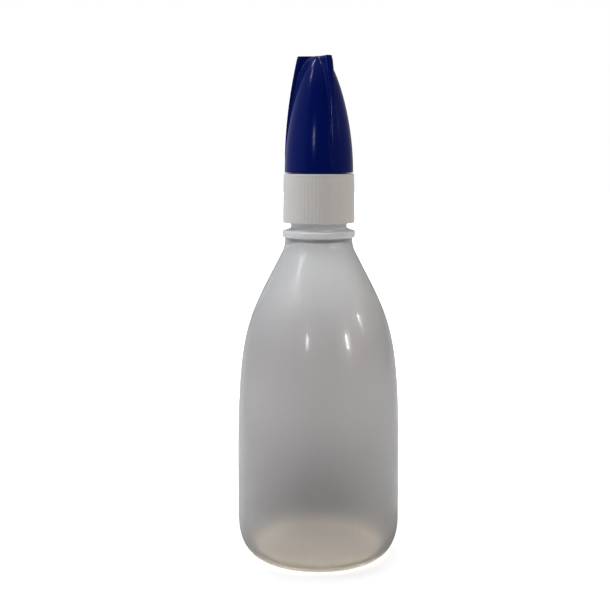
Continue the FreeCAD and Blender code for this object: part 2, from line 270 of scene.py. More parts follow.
def settle(mesh):
    """Merge what coincides and turn every face outwards."""
    bmesh.ops.remove_doubles(mesh, verts=mesh.verts, dist=MERGE)
    bmesh.ops.recalc_face_normals(mesh, faces=mesh.faces)


def clamp(value, low=0.0, high=1.0):
    """The value kept between two limits."""
    return min(max(value, low), high)


def push(vert, amount):
    """Move a vertex away from the Z axis."""
    radius = vert.co.xy.length
    vert.co.xy *= (radius + amount) / radius


def thread_rise(place, first):
    """Share of the thread's depth at a point, for a right-hand thread that starts at this height."""
    turned = math.atan2(place.y, place.x) / TURN % 1.0
    best = 0.0
    for along in (turned, turned + 1.0):
        away = abs(place.z - first - THREAD_PITCH * along)
        flank = clamp((THREAD_ROOT / 2 - away) / ((THREAD_ROOT - THREAD_CREST) / 2))
        ends = clamp(min(along, THREAD_TURNS - along) / THREAD_RUN_OUT)
        best = max(best, flank * ends)
    return best


def piece(name, mesh, body, node, material, sharp=SHARP):
    """The finished object of a mesh: smooth but for its sharp edges, riding on its body."""
    for face in mesh.faces:
        face.smooth = True
    for edge in mesh.edges:
        edge.smooth = edge.calc_face_angle(0.0) < math.radians(sharp)
    data = bpy.data.meshes.new(name)
    mesh.to_mesh(data)
    mesh.free()
    made = bpy.data.objects.new(name, data)
    bpy.context.scene.collection.objects.link(made)
    data.materials.append(material)
    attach(made, body)
    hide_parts(node)
    return made


# ---- shader node helpers and shared groups ----


def node_of(tree, kind, **values):
    """A node with its settings and plain inputs filled in. An underscore stands for a space."""
    made = tree.nodes.new(kind)
    for name, value in values.items():
        if hasattr(made, name):
            setattr(made, name, value)
        else:
            made.inputs[name.replace("_", " ")].default_value = value
    return made


def ramp(tree, value, low, high, shape="LINEAR"):
    """The output of a ramp that runs from 0 at one value to 1 at another."""
    made = node_of(tree, "ShaderNodeMapRange", From_Min=low, From_Max=high)
    made.interpolation_type = shape
    tree.links.new(value, made.inputs["Value"])
    return made.outputs["Result"]


def new_group(name, inputs, outputs):
    """An empty shader node group with its sockets, and its two end nodes."""
    tree = bpy.data.node_groups.new(name, "ShaderNodeTree")
    for label, kind, value in inputs:
        socket = tree.interface.new_socket(label, in_out="INPUT", socket_type=kind)
        if value is not None:
            socket.default_value = value
    for label in outputs:
        tree.interface.new_socket(label, in_out="OUTPUT", socket_type="NodeSocketFloat")
    return tree, tree.nodes.new("NodeGroupInput"), tree.nodes.new("NodeGroupOutput")


def make_moulded_grain():
    """Fine orange-peel height of a moulded plastic skin, and the slow swells under it."""
    tree, ins, outs = new_group("moulded_grain", [
        ("Vector", "NodeSocketVector", None),
        ("Fine Scale", "NodeSocketFloat", 900.0),
        ("Swell Scale", "NodeSocketFloat", 60.0),
        ("Swell Share", "NodeSocketFloat", 0.5),
    ], ["Height", "Mottle"])
    fine = node_of(tree, "ShaderNodeTexNoise", Detail=3.0, Roughness=0.55)
    swell = node_of(tree, "ShaderNodeTexNoise", Detail=1.0, Roughness=0.4)
    mix = node_of(tree, "ShaderNodeMix", data_type="FLOAT")
    link = tree.links.new
    link(ins.outputs["Vector"], fine.inputs["Vector"])
    link(ins.outputs["Vector"], swell.inputs["Vector"])
    link(ins.outputs["Fine Scale"], fine.inputs["Scale"])
    link(ins.outputs["Swell Scale"], swell.inputs["Scale"])
    link(ins.outputs["Swell Share"], mix.inputs[0])
    link(fine.outputs["Fac"], mix.inputs[2])
    link(swell.outputs["Fac"], mix.inputs[3])
    link(mix.outputs[0], outs.inputs["Height"])
    link(swell.outputs["Fac"], outs.inputs["Mottle"])
    return tree


def make_handling_wear():
    """Mask of faint scuffs: short fine scratches that come in patches."""
    tree, ins, outs = new_group("handling_wear", [
        ("Vector", "NodeSocketVector", None),
        ("Scratch Scale", "NodeSocketFloat", 260.0),
        ("Patch Scale", "NodeSocketFloat", 70.0),
        ("Amount", "NodeSocketFloat", 0.3),
    ], ["Mask"])
    lay = node_of(tree, "ShaderNodeMapping", Rotation=(0.4, 0.7, 0.2), Scale=(1.0, 1.0, 0.07))
    scratch = node_of(tree, "ShaderNodeTexNoise", Detail=4.0, Roughness=0.7)
    patch = node_of(tree, "ShaderNodeTexNoise", Detail=1.0)
    both = node_of(tree, "ShaderNodeMath", operation="MULTIPLY")
    scaled = node_of(tree, "ShaderNodeMath", operation="MULTIPLY")
    link = tree.links.new
    link(ins.outputs["Vector"], lay.inputs["Vector"])
    link(lay.outputs["Vector"], scratch.inputs["Vector"])
    link(ins.outputs["Scratch Scale"], scratch.inputs["Scale"])
    link(ins.outputs["Vector"], patch.inputs["Vector"])
    link(ins.outputs["Patch Scale"], patch.inputs["Scale"])
    link(ramp(tree, scratch.outputs["Fac"], 0.62, 0.72), both.inputs[0])
    link(ramp(tree, patch.outputs["Fac"], 0.45, 0.65), both.inputs[1])
    link(both.outputs[0], scaled.inputs[0])
    link(ins.outputs["Amount"], scaled.inputs[1])
    link(scaled.outputs[0], outs.inputs["Mask"])
    return tree


MOULDED_GRAIN = make_moulded_grain()
HANDLING_WEAR = make_handling_wear()
GRAIN_DEPTH = 0.2 * MM
FOAM_DEPTH = 0.1 * MM

# places of a Mix node's colour sockets
MIX_LOW = 6
MIX_HIGH = 7
MIX_TONE = 2


def new_material(name, **values):
    """A material with one Principled shader whose plain sockets are filled in."""
    material = bpy.data.materials.new(name)
    material.use_nodes = True
    tree = material.node_tree
    shader = tree.nodes["Principled BSDF"]
    for socket, value in values.items():
        shader.inputs[socket.replace("_", " ")].default_value = value
    return material, tree, shader


def place_group(tree, group, **values):
    """A group's node with its values set."""
    made = tree.nodes.new("ShaderNodeGroup")
    made.node_tree = group
    for socket, value in values.items():
        made.inputs[socket.replace("_", " ")].default_value = value
    return made


def skin(tree, shader, fine, swell, share, strength, rough, wear):
    """Moulded skin: grain in the bump, and mottle and scuffs in the roughness."""
    link = tree.links.new
    coords = tree.nodes.new("ShaderNodeTexCoord")
    grain = place_group(tree, MOULDED_GRAIN, Fine_Scale=fine, Swell_Scale=swell, Swell_Share=share)
    scuffs = place_group(tree, HANDLING_WEAR, Amount=wear)
    bump = node_of(tree, "ShaderNodeBump", Strength=strength, Distance=GRAIN_DEPTH)
    gloss = node_of(tree, "ShaderNodeMapRange", To_Min=rough[0], To_Max=rough[1])
    add = node_of(tree, "ShaderNodeMath", operation="ADD")
    link(coords.outputs["Object"], grain.inputs["Vector"])
    link(coords.outputs["Object"], scuffs.inputs["Vector"])
    link(grain.outputs["Height"], bump.inputs["Height"])
    link(bump.outputs["Normal"], shader.inputs["Normal"])
    link(grain.outputs["Mottle"], gloss.inputs["Value"])
    link(gloss.outputs["Result"], add.inputs[0])
    link(scuffs.outputs["Mask"], add.inputs[1])
    link(add.outputs[0], shader.inputs["Roughness"])
    return coords, grain


def blend_tones(tree, mask, low, high):
    """The output of a mix that runs between two tones by a mask."""
    mix = node_of(tree, "ShaderNodeMix", data_type="RGBA")
    for index, tone in ((MIX_LOW, low), (MIX_HIGH, high)):
        if isinstance(tone, tuple):
            mix.inputs[index].default_value = (*tone, 1.0)
        else:
            tree.links.new(tone, mix.inputs[index])
    tree.links.new(mask, mix.inputs[0])
    return mix.outputs[MIX_TONE]


def height_mask(tree, coords, low, high):
    """A smooth mask that runs from 0 at one height to 1 at another."""
    split = node_of(tree, "ShaderNodeSeparateXYZ")
    tree.links.new(coords.outputs["Object"], split.inputs["Vector"])
    return ramp(tree, split.outputs["Z"], low, high, "SMOOTHSTEP")


# ---- materials ----

# painted light on the bottle over its plain body tone: paler and warmer towards the foot, the warmth
# partly the plastic's own, and paler towards the shoulder
FOOT_PAINTED_LIGHT_TONE = (0.98, 0.95, 0.89)
BODY_TONE = (0.745, 0.728, 0.722)
SHOULDER_PAINTED_LIGHT_TONE = (0.96, 0.96, 0.96)
MOTTLE_TONE = (0.96, 0.96, 0.96, 1.0)
FOOT_PAINTED_LIGHT_FADE = (3.0 * MM, 7.0 * MM)
SHOULDER_PAINTED_LIGHT_FADE = (58.0 * MM, 82.0 * MM)
WHITE_TONES = ((0.555, 0.528, 0.502), (0.597, 0.568, 0.544))
BLUE_TONES = ((0.0007, 0.0045, 0.075), (0.0013, 0.0075, 0.105))
NOZZLE_TONES = ((0.76, 0.76, 0.75), (0.82, 0.82, 0.81))
FOAM_TONES = ((0.74, 0.74, 0.71), (0.86, 0.86, 0.83))


def make_polythene_painted_light(name, transmission):
    """Blown soft polythene of one clearness, with painted light: paler and warmer towards the foot, the
    warmth partly the plastic's own tone, and paler towards the shoulder.
    """
    material, tree, shader = new_material(
        name, Transmission_Weight=transmission, IOR=1.36, Specular_IOR_Level=0.4,
        Subsurface_Weight=1.0, Subsurface_Radius=(1.0, 1.0, 1.0), Subsurface_Scale=2.0 * MM,
        Coat_Weight=0.38, Coat_Roughness=0.1, Coat_IOR=1.5)
    coords, grain = skin(
        tree, shader, fine=700.0, swell=45.0, share=0.6, strength=0.05, rough=(0.277, 0.290), wear=0.02)
    # painted light: the foot and the shoulder are made paler than the body
    foot = height_mask(tree, coords, *FOOT_PAINTED_LIGHT_FADE)
    shoulder = height_mask(tree, coords, *SHOULDER_PAINTED_LIGHT_FADE)
    lower = blend_tones(tree, foot, FOOT_PAINTED_LIGHT_TONE, BODY_TONE)
    tone = blend_tones(tree, shoulder, lower, SHOULDER_PAINTED_LIGHT_TONE)
    dim = node_of(tree, "ShaderNodeMix", data_type="RGBA", blend_type="MULTIPLY")
    dim.inputs[0].default_value = 1.0
    dim.inputs[MIX_HIGH].default_value = MOTTLE_TONE
    tree.links.new(tone, dim.inputs[MIX_LOW])
    cloudy = blend_tones(tree, grain.outputs["Mottle"], dim.outputs[MIX_TONE], tone)
    tree.links.new(cloudy, shader.inputs["Base Color"])
    return material


def make_white_plastic():
    """The collar's white polypropylene: satin, faintly warm, and a little soft to light."""
    material, tree, shader = new_material(
        "white_plastic", Subsurface_Weight=0.3, Subsurface_Scale=1.0 * MM, IOR=1.49)
    _, grain = skin(
        tree, shader, fine=800.0, swell=90.0, share=0.4, strength=0.10, rough=(0.30, 0.42), wear=0.12)
    tones = blend_tones(tree, grain.outputs["Mottle"], *WHITE_TONES)
    tree.links.new(tones, shader.inputs["Base Color"])
    return material


def make_blue_plastic():
    """The overcap's deep blue polypropylene: glossy, with faint flow mottle and handling scuffs."""
    material, tree, shader = new_material("blue_plastic", IOR=1.49, Specular_IOR_Level=0.09)
    _, grain = skin(
        tree, shader, fine=500.0, swell=70.0, share=0.7, strength=0.05, rough=(0.13, 0.20), wear=0.12)
    tones = blend_tones(tree, grain.outputs["Mottle"], *BLUE_TONES)
    tree.links.new(tones, shader.inputs["Base Color"])
    return material


def make_nozzle_polythene():
    """The nozzle's polythene: the same plastic as the bottle's, thicker and so cloudier."""
    material, tree, shader = new_material(
        "nozzle_polythene", Transmission_Weight=0.3, IOR=1.4, Subsurface_Weight=0.3,
        Subsurface_Scale=2.0 * MM)
    _, grain = skin(
        tree, shader, fine=700.0, swell=120.0, share=0.4, strength=0.08, rough=(0.26, 0.36), wear=0.08)
    tones = blend_tones(tree, grain.outputs["Mottle"], *NOZZLE_TONES)
    tree.links.new(tones, shader.inputs["Base Color"])
    return material


def make_seal_foam():
    """The sealing ring's closed-cell foam: matt and finely pitted."""
    material, tree, shader = new_material("seal_foam", Specular_IOR_Level=0.25)
    coords = tree.nodes.new("ShaderNodeTexCoord")
    cells = node_of(tree, "ShaderNodeTexVoronoi", Scale=2600.0)
    bump = node_of(tree, "ShaderNodeBump", Strength=0.5, Distance=FOAM_DEPTH)
    rough = node_of(tree, "ShaderNodeMapRange", To_Min=0.75, To_Max=0.95)
    link = tree.links.new
    link(coords.outputs["Object"], cells.inputs["Vector"])
    link(cells.outputs["Distance"], bump.inputs["Height"])
    link(bump.outputs["Normal"], shader.inputs["Normal"])
    link(cells.outputs["Distance"], rough.inputs["Value"])
    link(rough.outputs["Result"], shader.inputs["Roughness"])
    tones = blend_tones(tree, cells.outputs["Distance"], *FOAM_TONES)
    link(tones, shader.inputs["Base Color"])
    return material


# ---- pieces ----


def cut_seam(mesh, across):
    """Cut the mould's parting line into a shell and raise it, with its pinch-off ridge underneath."""
    for side in (-SEAM_HALF, 0.0, SEAM_HALF):
        bmesh.ops.bisect_plane(
            mesh, geom=mesh.verts[:] + mesh.edges[:] + mesh.faces[:], dist=ON_CUT,
            plane_co=across * side, plane_no=across, use_snap_center=False,
            clear_outer=False, clear_inner=False)
    mesh.normal_update()
    for vert in mesh.verts:
        radius = vert.co.xy.length
        if abs(vert.co.dot(across)) > ON_WALL or radius < ON_WALL:
            continue
        outward = vert.normal.xy.dot(vert.co.xy) / radius
        if outward > SEAM_UPRIGHT and vert.co.z < NECK_BOTTOM:
            vert.co += vert.normal * SEAM_HEIGHT
        if vert.normal.z < PINCH_UNDER and radius < PINCH_REACH and vert.co.z < PINCH_TOP:
            vert.co.z -= PINCH_HEIGHT * clamp((PINCH_REACH - radius) / PINCH_FADE)


def bottle_outside():
    """The bottle's outer half-section, from the middle of the foot up to the rim."""
    points = outline(
        (0, PUSH_UP),
        [(RECESS_FLAT, PUSH_UP), (RECESS_EDGE, 0), (STAND_INNER, 0)],
        [(STAND_OUTER, 0)],
        quarter(STAND_OUTER, 0, HEEL_INSET, HEEL_HEIGHT),
        [(BODY_RADIUS, SHOULDER_START)],
        [(BODY_RADIUS, SHOULDER_LOWER), (SHOULDER_UPPER_RADIUS, SHOULDER_UPPER),
         (SHOULDER_RADIUS, SHOULDER_TOP)],
        [(WAIST_RADIUS, COVE), (WAIST_RADIUS, WAIST_HEIGHT)],
        [(WAIST_RADIUS, BEAD_BOTTOM)],
        [(BEAD_RADIUS - BEAD_ROUND, BEAD_BOTTOM)],
        [(BEAD_RADIUS, BEAD_BOTTOM), (BEAD_RADIUS, BEAD_BOTTOM + BEAD_ROUND)],
        [(BEAD_RADIUS, BEAD_TOP - BEAD_ROUND)],
        [(BEAD_RADIUS, BEAD_TOP), (BEAD_RADIUS - 2 * BEAD_ROUND, BEAD_TOP)],
        [(NECK_RADIUS, NECK_BOTTOM)],
    )
    thread_end = min(NECK_THREAD_HIGH, RIM - RIM_ROUND)
    points += outline(points[-1], [(NECK_RADIUS, NECK_THREAD_LOW)])[1:]
    points += outline(points[-1], [(NECK_RADIUS, thread_end)], run=NECK_THREAD_RUN)[1:]
    return points


def bottle_inside():
    """The bottle's half-section over the rim and down its inner wall to the middle of the floor."""
    inside = BODY_RADIUS - BODY_WALL
    heel = STAND_OUTER - BODY_WALL
    heel_inside = quarter(heel, FLOOR_THICKNESS, HEEL_INSET, HEEL_HEIGHT - FLOOR_THICKNESS)
    bore_end = NECK_BOTTOM - BORE_FLARE / 2
    return outline(
        (NECK_RADIUS, RIM - RIM_ROUND),
        [(NECK_RADIUS, RIM), (NECK_RADIUS - RIM_ROUND, RIM)],
        [(BORE_RADIUS + RIM_ROUND, RIM)],
        [(BORE_RADIUS, RIM), (BORE_RADIUS, RIM - RIM_ROUND)],
        [(BORE_RADIUS, bore_end)],
        [(BORE_RADIUS, bore_end - BORE_FLARE), (WAIST_RADIUS - BODY_WALL, COVE + BORE_FLARE),
         (WAIST_RADIUS - BODY_WALL, COVE)],
        [(SHOULDER_RADIUS - BODY_WALL, SHOULDER_TOP)],
        [(SHOULDER_UPPER_RADIUS - BODY_WALL, SHOULDER_UPPER), (inside, SHOULDER_LOWER),
         (inside, SHOULDER_START)],
        [(inside, HEEL_HEIGHT)],
        [*heel_inside[1::-1], (heel, FLOOR_THICKNESS)],
        [(STAND_INNER, FLOOR_THICKNESS)],
        [(RECESS_EDGE, FLOOR_THICKNESS), (RECESS_FLAT, PUSH_UP + FLOOR_THICKNESS),
         (0, PUSH_UP + FLOOR_THICKNESS)],
        run=BOTTLE_INSIDE_RUN, bend=BOTTLE_INSIDE_BEND,
    )


def make_bottle():
    """Thin-walled blown bottle: pushed-up foot, round heel, long shoulder, bead and screw neck."""
    mesh = lathe(bottle_outside() + bottle_inside(), BOTTLE_SIDES)
    settle(mesh)
    for vert in mesh.verts:
        if vert.co.z > NECK_THREAD_LOW and vert.co.xy.length > NECK_RADIUS - ON_WALL:
            push(vert, THREAD_DEPTH * thread_rise(vert.co, NECK_THREAD))
    cut_seam(mesh, Vector((-math.sin(SEAM_TURN), math.cos(SEAM_TURN), 0)))
    tops = [top for top, _ in WALL_BANDS]
    for face in mesh.faces:
        height = face.calc_center_median().z
        face.material_index = sum(height > top for top in tops[:-1])
    bands = [make_polythene_painted_light(f"natural_polythene_painted_light_{index}", transmission)
             for index, (_, transmission) in enumerate(WALL_BANDS)]
    shell = piece("bottle_shell", mesh, "bottle", "bottle", bands[0])
    for band in bands[1:]:
        shell.data.materials.append(band)


def make_sealing_ring(material):
    """Flat gasket with eased edges, pinched between the rim and the nozzle's flange."""
    inner, outer = BORE_RADIUS + SEAL_CLEARANCE, SEAL_HIGH.x
    low, high = SEAL_LOW.z, SEAL_HIGH.z
    mesh = lathe([(inner, low), (outer, low), (outer, high), (inner, high)], ROUND_SIDES, closed=True)
    settle(mesh)
    corners = [edge for edge in mesh.edges if edge.calc_face_angle(0.0) > CORNER]
    bmesh.ops.bevel(
        mesh, geom=corners, offset=SEAL_ROUND, offset_type="OFFSET", segments=3, profile=0.5,
        affect="EDGES", material=-1)
    piece("sealing_gasket", mesh, "nozzle", "sealing_ring", material)


def make_nozzle(material):
    """Dropping nozzle: plug, flange, boss with its snap bead, and the tapered spout."""
    bottom, tip = NOZZLE_LOW.z, NOZZLE_HIGH.z
    flange_bottom = SEAL_HIGH.z
    plug_inner = PLUG_RADIUS - PLUG_WALL
    points = outline(
        (plug_inner, bottom),
        [(PLUG_RADIUS - PLUG_LEAD / 2, bottom)],
        [(PLUG_RADIUS, bottom + PLUG_LEAD)],
        [(PLUG_RADIUS, flange_bottom)],
        [(FLANGE_RADIUS, flange_bottom)],
        [(FLANGE_RADIUS, COLLAR_RING)],
        [(BOSS_RADIUS, COLLAR_RING)],
        [(BOSS_RADIUS, SNAP_PLACE - SNAP_LENGTH / 2)],
        [(BOSS_RADIUS + 2 * SNAP_HEIGHT, SNAP_PLACE), (BOSS_RADIUS, SNAP_PLACE + SNAP_LENGTH / 2)],
        [(BOSS_RADIUS, BOSS_TOP - TIP_ROUND)],
        [(BOSS_RADIUS, BOSS_TOP), (BOSS_RADIUS - TIP_ROUND, BOSS_TOP)],
        [(CONE_RADIUS + CONE_EASE, BOSS_TOP)],
        [(CONE_RADIUS, BOSS_TOP), (CONE_RADIUS - CONE_LEAN, BOSS_TOP + CONE_EASE)],
        [(TIP_RADIUS, tip - TIP_ROUND)],
        [(TIP_RADIUS, tip), (TIP_RADIUS - TIP_ROUND, tip)],
        [(ORIFICE_RADIUS + ORIFICE_ROUND, tip)],
        [(ORIFICE_RADIUS, tip), (ORIFICE_RADIUS, tip - ORIFICE_ROUND)],
        [(ORIFICE_RADIUS, tip - ORIFICE_LENGTH)],
        [(CONE_RADIUS - NOZZLE_WALL, BOSS_TOP)],
        [(plug_inner, COLLAR_RING)],
    )
    mesh = lathe(points, ROUND_SIDES, closed=True)
    settle(mesh)
    piece("dropping_nozzle", mesh, "nozzle", "nozzle", material)


def raise_ribs(mesh):
    """Round grip ribs round the collar's skirt, run out just under the plain ring."""
    for vert in mesh.verts:
        radius = vert.co.xy.length
        if radius < COLLAR_RADIUS - ON_WALL or vert.co.z > COLLAR_RING:
            continue
        phase = math.atan2(vert.co.y, vert.co.x) / TURN * RIB_COUNT
        away = abs(phase - round(phase)) / RIB_SPREAD
        crown = max(0.0, math.cos(math.pi * away))
        push(vert, RIB_HEIGHT * crown * clamp((COLLAR_RING - vert.co.z) / RIB_RUN_OUT))


def collar_outside(foot, top):
    """The collar's half-section from its foot up the ribbed skirt, over the lip and under it."""
    opening = BOSS_RADIUS + OPENING_CLEARANCE
    points = outline(
        (COLLAR_BORE + LIP_ROUND, foot),
        [(COLLAR_FOOT_RADIUS - LIP_ROUND, foot)],
        [(COLLAR_FOOT_RADIUS, foot), (COLLAR_FOOT_RADIUS, foot + LIP_ROUND)],
        [(COLLAR_RADIUS, COLLAR_RING - RIB_RUN_OUT)],
    )
    return points + outline(
        points[-1],
        [(COLLAR_RADIUS, COLLAR_RING)],
        [(COLLAR_RADIUS, top - LIP_ROUND)],
        [(COLLAR_RADIUS, top), (COLLAR_RADIUS - LIP_ROUND, top)],
        [(opening + LIP_ROUND, top)],
        [(opening, top), (opening, top - LIP_ROUND)],
        [(opening, COLLAR_RING)],
        [(COLLAR_BORE, COLLAR_RING)],
        run=COLLAR_RING_RUN, bend=COLLAR_BEND,
    )[1:]


def collar_inside(foot):
    """The collar's half-section down its threaded bore to its foot."""
    points = outline(
        (COLLAR_BORE, COLLAR_RING),
        [(COLLAR_BORE, COLLAR_THREAD + THREAD_LENGTH + THREAD_ROOT)],
        run=COLLAR_BORE_RUN,
    )
    points += outline(
        points[-1],
        [(COLLAR_BORE, COLLAR_THREAD - THREAD_ROOT)],
        run=COLLAR_THREAD_RUN,
    )[1:]
    return points + outline(
        points[-1],
        [(COLLAR_BORE, foot + LIP_ROUND)],
        [(COLLAR_BORE, foot), (COLLAR_BORE + LIP_ROUND, foot)],
        bend=COLLAR_BEND,
    )[1:-1]


def make_collar(material):
    """Screw collar: ribbed skirt threaded inside, and the plain ring and lip that hold the flange."""
    foot = COLLAR_LOW.z
    section = collar_outside(foot, COLLAR_HIGH.z) + collar_inside(foot)[1:]
    mesh = lathe(section, RIB_COUNT * RIB_COLUMNS, closed=True)
    settle(mesh)
    raise_ribs(mesh)
    depth = COLLAR_BORE - NECK_RADIUS - THREAD_CLEARANCE
    for vert in mesh.verts:
        if abs(vert.co.xy.length - COLLAR_BORE) < ON_WALL and vert.co.z < COLLAR_RING:
            push(vert, -depth * thread_rise(vert.co, COLLAR_THREAD))
    piece("screw_collar", mesh, "collar", "collar", material, sharp=SHARP_COLLAR)


def arc(centre, radius, first, last, steps):
    """Points along an arc of a circle, with both of its ends."""
    points = []
    for index in range(steps + 1):
        angle = first + (last - first) * index / steps
        points.append((centre[0] + radius * math.cos(angle), centre[1] + radius * math.sin(angle)))
    return points


def cap_half_lobe(core, wing):
    """Half a wing's share of the overcap's cross-section, from the wing's tip to midway to the next."""
    root = math.sqrt(core**2 - WING_HALF**2)
    tip = max(wing, root)
    ease = clamp((tip - root) / (WING_EDGE + WING_FILLET_ROOM * WING_FILLET))
    edge, fillet = WING_EDGE * ease, WING_FILLET * ease
    centre = math.sqrt((core + fillet)**2 - (WING_HALF + fillet)**2)
    side_start = tip - edge
    side_end = min(centre, side_start)
    meet = math.atan2(WING_HALF + fillet, centre)
    points = []
    for index in range(WING_SIDE_STEPS):
        side = (WING_HALF - edge) * index / WING_SIDE_STEPS
        points.append((max(tip, math.sqrt(core**2 - side**2)), side))
    points += arc((side_start, WING_HALF - edge), edge, 0, TURN / 4, WING_SIDE_STEPS)
    for index in range(1, WING_SIDE_STEPS + 1):
        points.append((side_start + (side_end - side_start) * index / WING_SIDE_STEPS, WING_HALF))
    hollow = (side_end, WING_HALF + fillet)
    points += arc(hollow, fillet, -TURN / 4, meet - TURN / 2, WING_FILLET_STEPS)[1:]
    points += arc((0, 0), core, meet, math.pi / WING_COUNT, CAP_SIDE_STEPS)[1:]
    return points


def cap_section(core, wing, height):
    """A whole cross-section of the overcap, wing by wing, as points."""
    half = cap_half_lobe(core, wing)
    lobe = [(across, -along) for across, along in half[:0:-1]] + half[:-1]
    points = []
    for index in range(WING_COUNT):
        turn = Matrix.Rotation(WING_TURN + TURN * index / WING_COUNT, 2)
        points += [(turn @ Vector(place)).to_3d() + Vector((0, 0, height)) for place in lobe]
    return points


def round_section(pattern, radius, height):
    """A circle with its points at the same bearings as a section's."""
    return [Vector((*(place.xy.normalized() * radius), height)) for place in pattern]


def inset_section(section, amount, height):
    """A section drawn in by an amount along its own outline's normals."""
    points = []
    for before, here, after in zip(section[-1:] + section[:-1], section, section[1:] + section[:1]):
        along = (after - before).xy.normalized()
        inward = Vector((-along.y, along.x, 0))
        moved = here + inward * amount
        points.append(Vector((moved.x, moved.y, height)))
    return points


def neighbours(vert):
    """The vertices that share an edge with this one."""
    return [edge.other_vert(vert) for edge in vert.link_edges]


def loft(sections):
    """A skin through rings of equal length, extruded level by level and closed at both ends."""
    mesh = bmesh.new()
    ring = [mesh.verts.new(place) for place in sections[0]]
    edges = [mesh.edges.new(pair) for pair in zip(ring, ring[1:] + ring[:1])]
    bmesh.ops.contextual_create(mesh, geom=edges)
    for section in sections[1:]:
        grown = bmesh.ops.extrude_edge_only(mesh, edges=edges)["geom"]
        fresh = {item for item in grown if isinstance(item, bmesh.types.BMVert)}
        ring = [next(end for end in neighbours(vert) if end in fresh) for vert in ring]
        for vert, place in zip(ring, section):
            vert.co = place
        edges = [mesh.edges.get(pair) for pair in zip(ring, ring[1:] + ring[:1])]
    bmesh.ops.contextual_create(mesh, geom=edges)
    return mesh


def at_height(poles, height):
    """The radius of a rising outline, given by its poles, at a height."""
    low, high = 0.0, 1.0
    for _ in range(HALVINGS):
        middle = (low + high) / 2
        if bezier(poles, middle).y < height:
            low = middle
        else:
            high = middle
    return bezier(poles, low).x


def cap_inside(bottom, ceiling):
    """The overcap's half-section from the sealing pin's end, round the hollow, to the band's foot."""
    inside = CAP_RADIUS - CAP_WALL
    upper = (CAP_UPPER_RADIUS - CAP_WALL, CAP_UPPER - CAP_TOP_WALL / 2)
    return outline(
        (CAP_PIN_RADIUS / 2, CAP_PIN_END),
        [(CAP_PIN_RADIUS, CAP_PIN_END), (CAP_PIN_RADIUS, CAP_PIN_END + CAP_PIN_RADIUS)],
        [(CAP_PIN_RADIUS, ceiling)],
        [(CAP_INNER_TOP, ceiling)],
        [upper, (inside, CAP_LOWER), (inside, CAP_BAND_TOP + inside - CAP_BAND_RADIUS)],
        [(CAP_BAND_RADIUS, CAP_BAND_TOP)],
        [(CAP_BAND_RADIUS, bottom + CAP_FOOT_ROUND)],
        [(CAP_BAND_RADIUS, bottom), (CAP_BAND_RADIUS + CAP_FOOT_ROUND, bottom)],
    )


def make_overcap(material):
    """Overcap: a bullet shell with three upright wings, a gripping band and a sealing pin."""
    bottom, top = CAP_LOW.z, CAP_HIGH.z
    straight_top = top - CAP_TOP_ROUND
    core_line = [(CAP_RADIUS, bottom), (CAP_RADIUS, CAP_LOWER), (CAP_UPPER_RADIUS, CAP_UPPER),
                 (CAP_TOP_RADIUS, top)]
    wing_line = [(WING_RADIUS, WING_FOOT), (WING_RADIUS, WING_LOWER), (WING_UPPER_RADIUS, WING_UPPER),
                 (WING_TOP_RADIUS, top)]
    foot = outline(
        (CAP_RADIUS - CAP_FOOT_ROUND, bottom),
        [(CAP_RADIUS, bottom), (CAP_RADIUS, bottom + CAP_FOOT_ROUND)],
    )
    levels = outline((bottom + CAP_FOOT_ROUND, 0), [(WING_FOOT, 0)], [(straight_top, 0)], run=CAP_LEVEL)
    pattern = cap_section(CAP_RADIUS, 0.0, 0.0)
    hollow = cap_inside(bottom, top - CAP_TOP_WALL)
    sections = [round_section(pattern, point.x, point.y) for point in hollow + foot]
    for height in [level.x for level in levels[1:]]:
        wing = at_height(wing_line, height) if height > WING_FOOT else 0.0
        sections.append(cap_section(at_height(core_line, height), wing, height))
    for index in range(1, CAP_TOP_STEPS + 1):
        angle = TURN / 4 * index / CAP_TOP_STEPS
        height = straight_top + CAP_TOP_ROUND * math.sin(angle)
        section = cap_section(at_height(core_line, height), at_height(wing_line, height), height)
        sections.append(inset_section(section, CAP_TOP_ROUND * (1 - math.cos(angle)), height))
    mesh = loft(sections)
    settle(mesh)
    piece("winged_overcap", mesh, "overcap", "overcap", material)


# ---- camera, stage and lights ----

WHITE = (1.0, 1.0, 1.0)
BLACK = (0.0, 0.0, 0.0)
WARM = (1.0, 0.97, 0.92)
COOL = (0.93, 0.96, 1.0)
CAMERA_PLACE = (0, -282.8 * MM, 113.4 * MM)
CAMERA_DIP = 8.6
CAMERA_YAW = 0.77
LENS = 60.55
SENSOR = 36.0
NEAREST = 0.01

# floor: its paper's tones, with a painted shadow in a strip before and behind the foot, painted shade
# far in front and painted light under the foot; the light it gives, a painted glow under the foot and,
# seen first, white that is dimmer near the foot as painted shade; and where each starts and ends from
# the bottle's axis
FLOOR_RADIUS = 2.5
NEAR_FOOT_PAINTED_SHADE_GLOW = (0.78, 0.78, 0.78)
PAINTED_UNDER_FOOT_GLOW = (0.72, 0.66, 0.59)
PAPER_TONE = (0.78, 0.78, 0.785)
PAINTED_UNDER_FOOT_LIGHT_TONE = (0.92, 0.87, 0.79)
PAINTED_FOOT_SHADOW_TONE = (0.17, 0.17, 0.18)
PAINTED_FRONT_SHADE_TONE = (0.08, 0.08, 0.08)
UNDER_FOOT_PAINTED_LIGHT_FADE = (0.0215, 0.0180)
NEAR_FOOT_PAINTED_SHADE_FADE = (0.02, 0.05)
PAINTED_SHADOW_AROUND_FADE = (0.05, 0.17)
PAINTED_SHADOW_STRIP_FADE = (0.012, 0.05)
PAINTED_FRONT_SHADE_FADE = (-0.45, -0.12)

